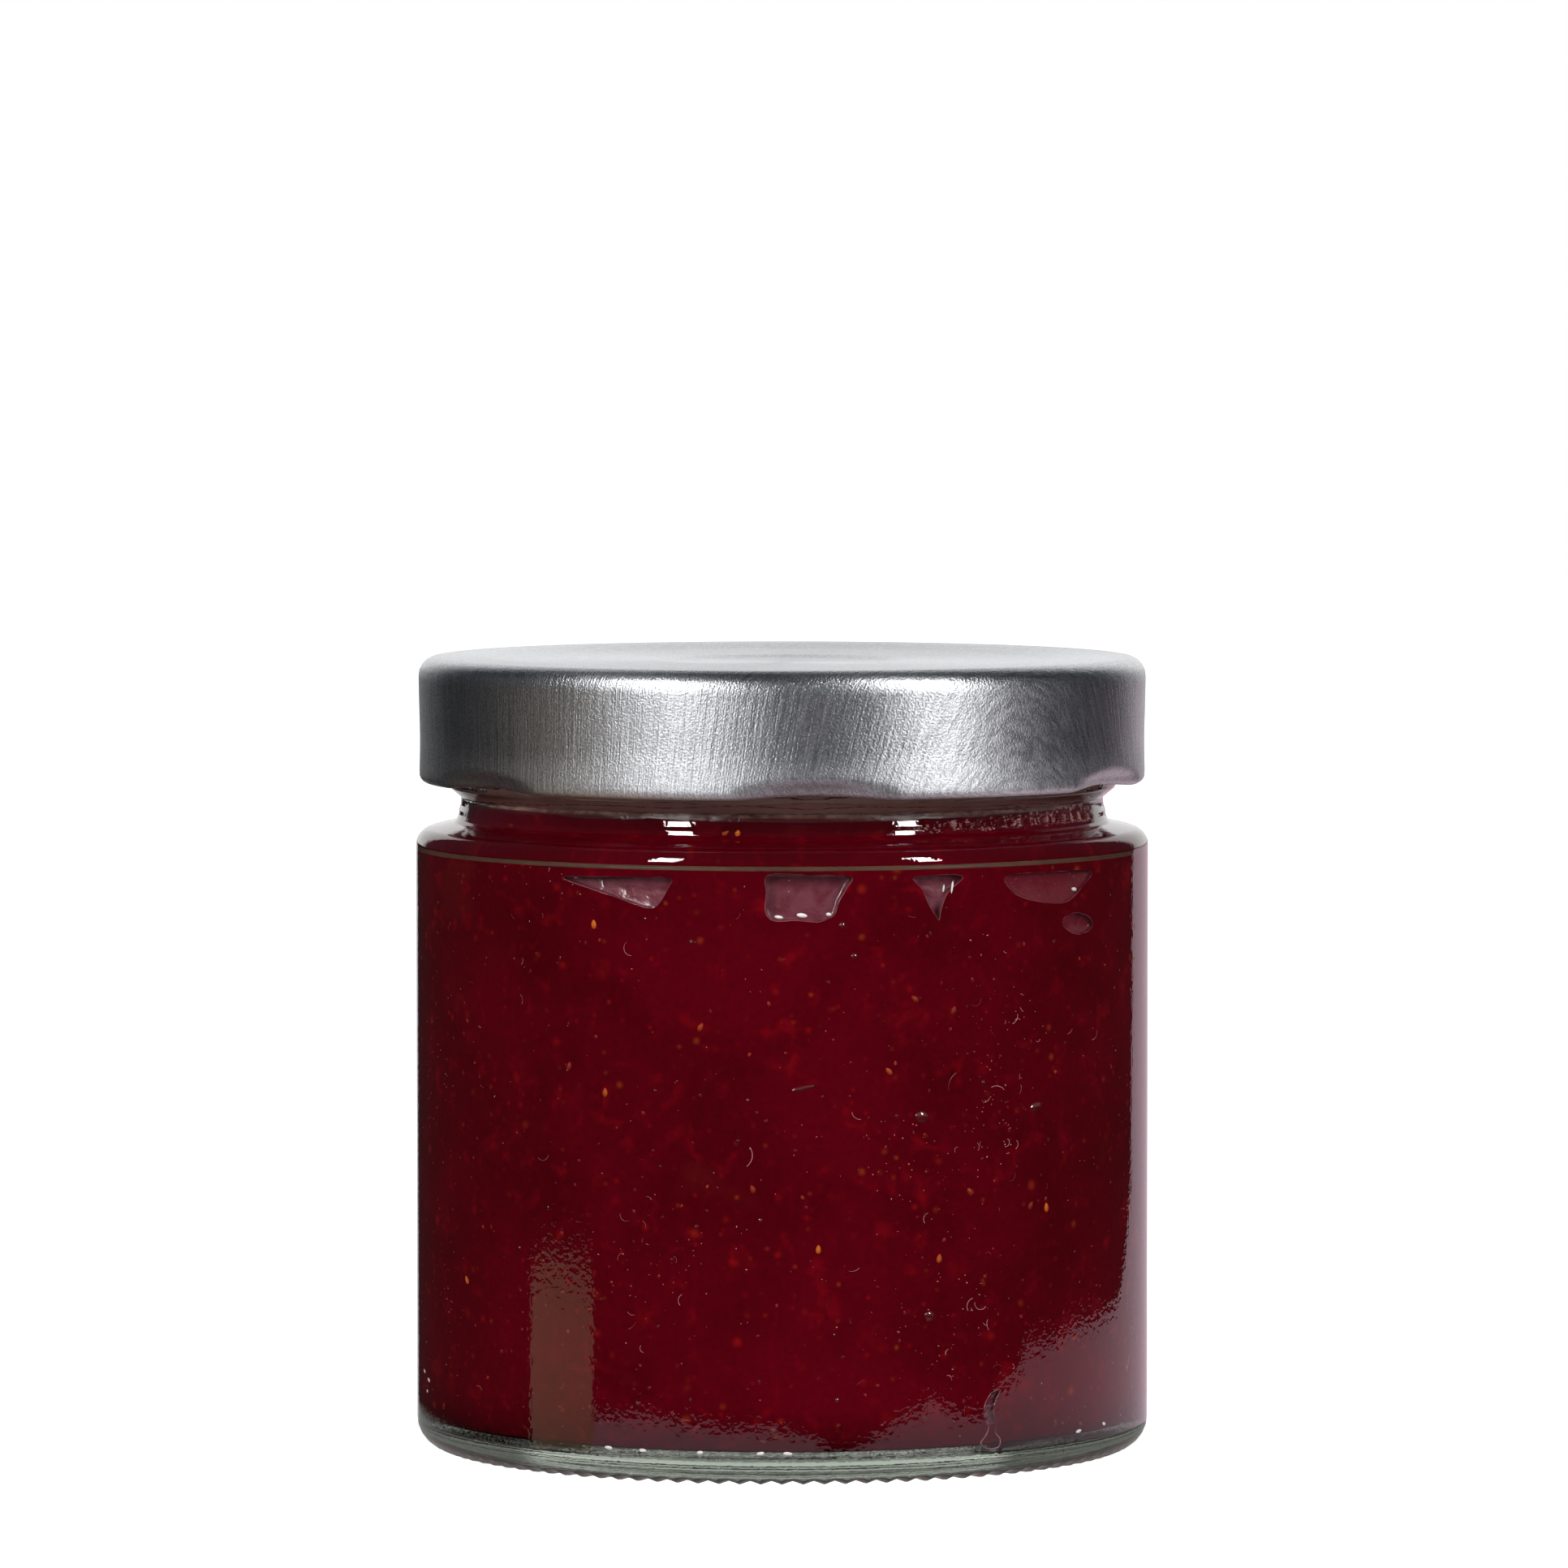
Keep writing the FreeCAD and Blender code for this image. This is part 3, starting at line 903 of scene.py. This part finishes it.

# Froth dried on it at the right, and two pale wavy lines that are painted highlights of the glass bead and of
# the jam's edge
froth = {
    "droplets": 700,
    "middle": 35.47,
    "azimuths": (20, 76),
    "heights": (73.6, 76.6),
    "highlightLineRadius": 35.46,
    # height, thickness, phase of the waves
    "paintedHighlightLines": [(78.3, 0.06, 3), (76.4, 0.035, 11)],
}


def paintedHighlightLine(height, thickness, phase):
    radius = froth["highlightLineRadius"] * mm
    line = newPiece("paintedHighlightLine", bpy.ops.mesh.primitive_circle_add, vertices=360, radius=radius)
    for vertex in line.data.vertices:
        x, y, z = vertex.co / mm
        wave = noise.noise(Vector((x * 0.12, y * 0.12, phase))) + 0.3 * noise.noise(Vector((x, y, phase)))
        vertex.co.z = (height + 0.5 * wave) * mm
    bpy.ops.object.convert(target="CURVE")
    line.data.bevel_depth = thickness * mm
    line.data.bevel_resolution = 1
    bpy.ops.object.convert(target="MESH")
    return line


dropletModel = newPiece("dropletModel", newBead, subdivisions=2, radius=0.5 * mm)
bpy.ops.object.shade_smooth()
droplets = []
for number in range(froth["droplets"]):
    share = picker.random() ** 0.75
    first, last = froth["azimuths"]
    low, high = froth["heights"]
    azimuth = first + (last - first) * share
    height = low + (high - low) * picker.random() * (0.35 + 0.65 * share)
    size = picker.uniform(0.10, 0.38) * (0.6 + 0.6 * share)
    turn = picker.uniform(-40, 40)
    stretched = (size * picker.uniform(1.0, 2.4), size * 0.5, size)
    droplets.append(copyTo(dropletModel, lyingPlace(azimuth, froth["middle"], height, turn, stretched)))
paintedHighlightLines = [paintedHighlightLine(*line) for line in froth["paintedHighlightLines"]]
frothAndHighlightsPiece = joinPieces([*droplets, *paintedHighlightLines], "neck_froth_and_highlights")
bpy.data.objects.remove(dropletModel)

print("stage 7: finishes")


# Empty node group with number sockets, and its input and output nodes
def groupWith(name, inputs, outputs):
    group = bpy.data.node_groups.new(name, "ShaderNodeTree")
    for label, value in inputs.items():
        socket = group.interface.new_socket(name=label, in_out="INPUT", socket_type="NodeSocketFloat")
        socket.default_value = value
    for label in outputs:
        group.interface.new_socket(name=label, in_out="OUTPUT", socket_type="NodeSocketFloat")
    return group, group.nodes.new("NodeGroupInput"), group.nodes.new("NodeGroupOutput")


def addGroup(tree, group, **values):
    node = tree.nodes.new("ShaderNodeGroup")
    node.node_tree = group
    for name, value in values.items():
        node.inputs[name].default_value = value
    return node


# Cloudiness of fruit pulp: a slow drift, soft lumps and fine grit, each 0 to 1
pulpScales = {"Drift": 60.0, "Lumps": 300.0, "Grit": 1500.0}
pulpNoise = (("Drift", 2, 0.5, 0.6), ("Lumps", 3, 0.55, 0.4), ("Grit", 2, 0.6, 0))
pulp, pulpIn, pulpOut = groupWith("fruitPulp", pulpScales, pulpScales)
pulpSpot = addNode(pulp, "ShaderNodeTexCoord").outputs["Object"]
for label, detail, roughness, distortion in pulpNoise:
    cloud = addNode(
        pulp, "ShaderNodeTexNoise", {"Detail": detail, "Roughness": roughness, "Distortion": distortion},
        {"Vector": pulpSpot, "Scale": pulpIn.outputs[label]},
    )
    pulp.links.new(cloud.outputs["Fac"], pulpOut.inputs[label])

# Faint unevenness of a moulded or poured surface
rippleScales = {"Fine": 900.0, "Broad": 120.0, "Share": 0.7}
ripple, rippleIn, rippleOut = groupWith("surfaceRipple", rippleScales, ["Height"])
rippleSpot = addNode(ripple, "ShaderNodeTexCoord").outputs["Object"]
bothWaves = addNode(ripple, "ShaderNodeMix", links={"Factor": rippleIn.outputs["Share"]})
for slot, label, detail in (("A", "Fine", 1.5), ("B", "Broad", 1.0)):
    spot = {"Vector": rippleSpot, "Scale": rippleIn.outputs[label]}
    wave = addNode(ripple, "ShaderNodeTexNoise", {"Detail": detail}, spot)
    ripple.links.new(wave.outputs["Fac"], bothWaves.inputs[slot])
ripple.links.new(bothWaves.outputs["Result"], rippleOut.inputs["Height"])


def bumpFrom(tree, height, strength, distance):
    bump = addNode(tree, "ShaderNodeBump", {"Strength": strength, "Distance": distance}, {"Height": height})
    return bump.outputs["Normal"]


# Ends a material with a shader, its fixed values and what is linked to it
def finish(tree, values, links):
    shader = addNode(tree, "ShaderNodeBsdfPrincipled", values, links)
    return addNode(tree, "ShaderNodeOutputMaterial", links={"Surface": shader.outputs["BSDF"]})


# Clear glass with a trace of green
tree = newLook("clear_glass", glassPiece)
waves = addGroup(tree, ripple, Fine=1500.0, Broad=110.0, Share=0.5)
output = finish(
    tree, {"Base Color": (0.985, 0.995, 0.988, 1), "Roughness": 0.0, "IOR": 1.52, "Transmission Weight": 1.0},
    {"Normal": bumpFrom(tree, waves.outputs["Height"], 0.36, 0.00009)},
)
depth = addNode(tree, "ShaderNodeVolumeAbsorption", {"Color": (0.84, 0.86, 0.83, 1), "Density": 60.0})
tree.links.new(depth.outputs["Volume"], output.inputs["Volume"])
glassPiece.visible_shadow = False  # lamps reach the jam through it

# Jam against the glass
jamColours = {
    "deep": (0.055, 0.0001, 0.0026),
    "light": (0.082, 0.0002, 0.0040),
    "lump": (0.130, 0.0014, 0.0045),
    "seedRed": (0.26, 0.006, 0.005),
    "seedOrange": (0.30, 0.045, 0.006),
    "brown": (0.105, 0.0090, 0.0060),
}
tree = nodeTree(jamMaterial)
clouds = addGroup(tree, pulp, Drift=70.0, Lumps=330.0, Grit=1400.0)
place, x, y, z = surfaceSpot(tree)
drift = ramp(tree, clouds.outputs["Drift"], 0.30, 0.70)
lower = ramp(tree, z, 0.045, 0.004)
paleness = calc(tree, "MULTIPLY_ADD", drift, 0.75, calc(tree, "MULTIPLY", lower, 0.3), clamp=True)
colour = mixColour(tree, paleness, jamColours["deep"], jamColours["light"])
lumps = ramp(tree, clouds.outputs["Lumps"], 0.54, 0.76)
colour = mixColour(tree, calc(tree, "MULTIPLY", lumps, 0.75), colour, jamColours["lump"])

# Seeds that lie deeper: soft dots, each with its own share of orange
for scale, reach, strength in ((210.0, 0.19, 0.75), (330.0, 0.22, 0.65), (620.0, 0.28, 0.5)):
    dots = addNode(tree, "ShaderNodeTexVoronoi", {"Scale": scale}, {"Vector": place})
    dot = ramp(tree, dots.outputs["Distance"], reach, -0.05)
    own = addNode(tree, "ShaderNodeSeparateColor", links={"Color": dots.outputs["Color"]})
    clearness = calc(tree, "MULTIPLY", ramp(tree, own.outputs["Red"], 0.35, 1.0), strength)
    orange = ramp(tree, own.outputs["Green"], 0.5, 1.0)
    dotColour = mixColour(tree, orange, jamColours["seedRed"], jamColours["seedOrange"])
    colour = mixColour(tree, calc(tree, "MULTIPLY", dot, clearness), colour, dotColour)
stain = ramp(tree, clouds.outputs["Drift"], 0.34, 0.24)
colour = mixColour(tree, calc(tree, "MULTIPLY", stain, 0.25), colour, jamColours["brown"])
grit = calc(tree, "MULTIPLY_ADD", clouds.outputs["Grit"], 0.6, 0.70)
colour = mixColour(tree, 1.0, colour, grit, "MULTIPLY")
finish(tree, {"Roughness": 0.5, "Specular IOR Level": 0.0}, {"Base Color": colour})

# Looks of two colours each, mixed by the pulp's lumps or drift
twoColours = {
    # jam where it lies off the glass, and its level; its paler, greyer mauve is partly a thin haze on the
    # glass and partly painted reflection off the glass's inner face
    "wet_jam": {
        "by": "Lumps", "scale": 420.0, "between": (0.35, 0.65), "bump": (0.8, 0.0004),
        "first": (0.080, 0.012, 0.020), "second": (0.110, 0.026, 0.038),
        "shader": {"Roughness": 0.16, "IOR": 1.45},
    },
    # jam that only just leaves the glass
    "faint_jam": {
        "by": "Lumps", "scale": 420.0, "bump": (0.6, 0.0004),
        "first": (0.060, 0.0015, 0.006), "second": (0.092, 0.009, 0.016),
        "shader": {"Roughness": 0.14, "IOR": 1.4},
    },
    # jam drawn thin into the corner under the shoulder, where it looks olive brown
    "jam_corner": {
        "by": "Lumps", "scale": 420.0, "first": (0.034, 0.014, 0.009), "second": (0.078, 0.044, 0.026),
        "shader": {"Roughness": 0.4, "Specular IOR Level": 0.1},
    },
    # specks and strands: their pale pink is painted highlight of tiny air hollows at the glass
    "speck_and_strand_highlights": {
        "by": "Drift", "scale": 160.0, "between": (0.4, 0.66),
        "first": (0.13, 0.010, 0.014), "second": (0.60, 0.30, 0.29),
        "shader": {"Roughness": 0.35, "Specular IOR Level": 0.5},
    },
    # dried froth on the neck, and the pale painted highlight lines
    "froth_and_highlight_lines": {
        "by": "Lumps", "scale": 900.0, "between": (0.4, 0.65),
        "first": (0.10, 0.010, 0.014), "second": (0.42, 0.20, 0.19),
        "shader": {"Roughness": 0.15, "Specular IOR Level": 0.8},
    },
    # the beads round the pockets, their pale pink painted highlight where the edge catches light
    "jam_bead_highlight": {
        "by": "Drift", "scale": 260.0, "between": (0.42, 0.62),
        "first": (0.08, 0.004, 0.010), "second": (0.27, 0.11, 0.125),
        "shader": {"Roughness": 0.12, "IOR": 1.6},
    },
}


def mixedLook(name, tree):
    plan = twoColours[name]
    cloud = addGroup(tree, pulp, **{plan["by"]: plan["scale"]}).outputs[plan["by"]]
    share = ramp(tree, cloud, *plan["between"]) if "between" in plan else cloud
    links = {"Base Color": mixColour(tree, share, plan["first"], plan["second"])}
    if "bump" in plan:
        links["Normal"] = bumpFrom(tree, cloud, *plan["bump"])
    finish(tree, plan["shader"], links)


for material in (wetMaterial, faintMaterial, cornerMaterial):
    mixedLook(material.name, nodeTree(material))
mixedLook("speck_and_strand_highlights", newLook("speck_and_strand_highlights", specksPiece, strandsPiece))
mixedLook("froth_and_highlight_lines", newLook("froth_and_highlight_lines", frothAndHighlightsPiece))
mixedLook("jam_bead_highlight", newLook("jam_bead_highlight", rimsPiece))

# Seeds, the clear ones straw to orange and the sunken ones nearly the jam's red
tree = newLook("seed_coat", seedsPiece)
tone = addNode(tree, "ShaderNodeAttribute", attribute_name="tone").outputs["Fac"]
grain = addGroup(tree, pulp, Drift=500.0)
coat = mixColour(tree, grain.outputs["Drift"], (0.38, 0.050, 0.004), (0.58, 0.155, 0.010))
sunken = mixColour(tree, ramp(tree, tone, 0.0, 0.5), (0.080, 0.001, 0.003), (0.20, 0.012, 0.004))
colour = mixColour(tree, ramp(tree, tone, 0.35, 0.95), sunken, coat)
finish(tree, {"Roughness": 0.4, "Specular IOR Level": 0.15}, {"Base Color": colour})

# Bubbles: clear little hollows that show the jam and a glint. The pale ring round each is painted highlight
# along its edge, and the near-white marks are painted highlights
tree = newLook("bubble_skin", bubblesPiece)
grain = addGroup(tree, pulp, Drift=300.0)
hollow = mixColour(tree, grain.outputs["Drift"], (0.060, 0.0005, 0.003), (0.085, 0.004, 0.006))
rim = addNode(tree, "ShaderNodeAttribute", attribute_name="rim").outputs["Fac"]
# rim 1: pale ring, painted highlight along the bubble's edge
colour = mixColour(tree, rim, hollow, (0.22, 0.035, 0.035))
# rim 2 gives the near-white of the painted highlights
colour = mixColour(tree, calc(tree, "SUBTRACT", rim, 1.0), colour, (0.78, 0.74, 0.72))
finish(tree, {"Roughness": 0.03, "IOR": 1.9, "Specular IOR Level": 0.6}, {"Base Color": colour})

# The film: red where it leaves the jam, brownish above and paler towards its top. The brown is lightened and
# the top made paler still as painted light, where the lid's shade falls
tree = newLook("jam_film", filmPiece)
grain = addGroup(tree, pulp, Lumps=700.0)
lumps = ramp(tree, grain.outputs["Lumps"], 0.35, 0.65)
colour = mixColour(tree, lumps, (0.14, 0.060, 0.048), (0.30, 0.165, 0.135))
place, x, y, z = surfaceSpot(tree)
paintedLightUnderLid = ramp(tree, z, 0.0768, 0.0780)
colour = mixColour(tree, paintedLightUnderLid, colour, (0.50, 0.27, 0.23))
creep = ramp(tree, z, 0.0756, 0.0763)
colour = mixColour(tree, creep, (0.070, 0.0008, 0.004), colour)
uneven = bumpFrom(tree, grain.outputs["Lumps"], 0.7, 0.0002)
finish(tree, {"Roughness": 0.22, "IOR": 1.45}, {"Base Color": colour, "Normal": uneven})

# Brushed tinplate under clear lacquer. Its straight grain was drawn down with the skirt, so it fans out there
lidFinish = {
    "grainFrom": -50,
    "grain": (6500.0, 3400.0, 1500.0),  # scales of the fine, the middling and the broad grain
    "drawnOut": 0.075,
    "stretch": 0.17,
    "top": 0.0928,
    "peel": 4200.0,
    "heights": (0.34, 0.20, 0.05, 0.50),  # shares of the three grains and the peel in the bump
    "bump": (1.0, 0.0001),
    "speckle": (0.38, 0.62),
    "darkSteel": (0.49, 0.50, 0.535),
    "paleSteel": (0.83, 0.84, 0.85),
    "skirt": (0.0921, 0.0912),  # from and to where it grows duller, in metres
    "lowEdge": (0.0838, 0.0808),
    "dullness": {"all": 0.24, "skirt": 0.12, "lowEdge": 0.09, "grain": 0.12},
    "shader": {"Metallic": 1.0, "Anisotropic": 0.65, "Anisotropic Rotation": 0.285},
}
tree = newLook("brushed_lid", lidPiece)
place, x, y, z = surfaceSpot(tree)
radius = calc(tree, "SQRT", calc(tree, "MULTIPLY_ADD", x, x, calc(tree, "MULTIPLY", y, y)))
radius = calc(tree, "MAXIMUM", radius, 0.0005)
drawn = calc(tree, "MULTIPLY", calc(tree, "SUBTRACT", lidFinish["top"], z), lidFinish["stretch"])
grow = calc(tree, "DIVIDE", calc(tree, "ADD", radius, calc(tree, "MAXIMUM", drawn, 0.0)), radius)
along = around(lidFinish["grainFrom"], 1, 0)
alongGrain = calc(tree, "ADD", calc(tree, "MULTIPLY", x, along.x), calc(tree, "MULTIPLY", y, along.y))
acrossGrain = calc(tree, "SUBTRACT", calc(tree, "MULTIPLY", x, along.y), calc(tree, "MULTIPLY", y, along.x))
alongGrain, acrossGrain = (calc(tree, "MULTIPLY", grain, grow) for grain in (alongGrain, acrossGrain))
alongGrain = calc(tree, "MULTIPLY", alongGrain, lidFinish["drawnOut"])
flat = addNode(tree, "ShaderNodeCombineXYZ", links={"X": alongGrain, "Y": acrossGrain}).outputs[0]
noises = [
    addNode(tree, "ShaderNodeTexNoise", {"Scale": scale, "Detail": 2.0, "Roughness": 0.6}, {"Vector": flat})
    for scale in lidFinish["grain"]
]
peelLook = {"Scale": lidFinish["peel"], "Detail": 2.0}
noises.append(addNode(tree, "ShaderNodeTexNoise", peelLook, {"Vector": place}))
grains = [node.outputs["Fac"] for node in noises]
height = 0.0
for grain, share in zip(grains, lidFinish["heights"]):
    height = calc(tree, "MULTIPLY_ADD", grain, share, height)
speckle = calc(tree, "MULTIPLY", calc(tree, "ADD", grains[0], grains[-1]), 0.5)
speckle = ramp(tree, speckle, *lidFinish["speckle"])
steel = mixColour(tree, speckle, lidFinish["darkSteel"], lidFinish["paleSteel"])
side, lowEdge = (ramp(tree, z, *lidFinish[zone]) for zone in ("skirt", "lowEdge"))
dullness = lidFinish["dullness"]["all"]
for zone, share in (("lowEdge", lowEdge), ("skirt", side), ("grain", grains[0])):
    dullness = calc(tree, "MULTIPLY_ADD", share, lidFinish["dullness"][zone], dullness)
uneven = bumpFrom(tree, height, *lidFinish["bump"])
finish(tree, lidFinish["shader"], {"Base Color": steel, "Roughness": dullness, "Normal": uneven})

print("stage 8: attach the pieces and hide the CAD parts")

jamDetails = (seedsPiece, bubblesPiece, specksPiece, strandsPiece, rimsPiece, filmPiece, frothAndHighlightsPiece)
for piece in (glassPiece, jamPiece, lidPiece, *jamDetails):
    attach(piece, "root")
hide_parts("glass_jar")
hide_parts("jam")
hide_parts("lid")
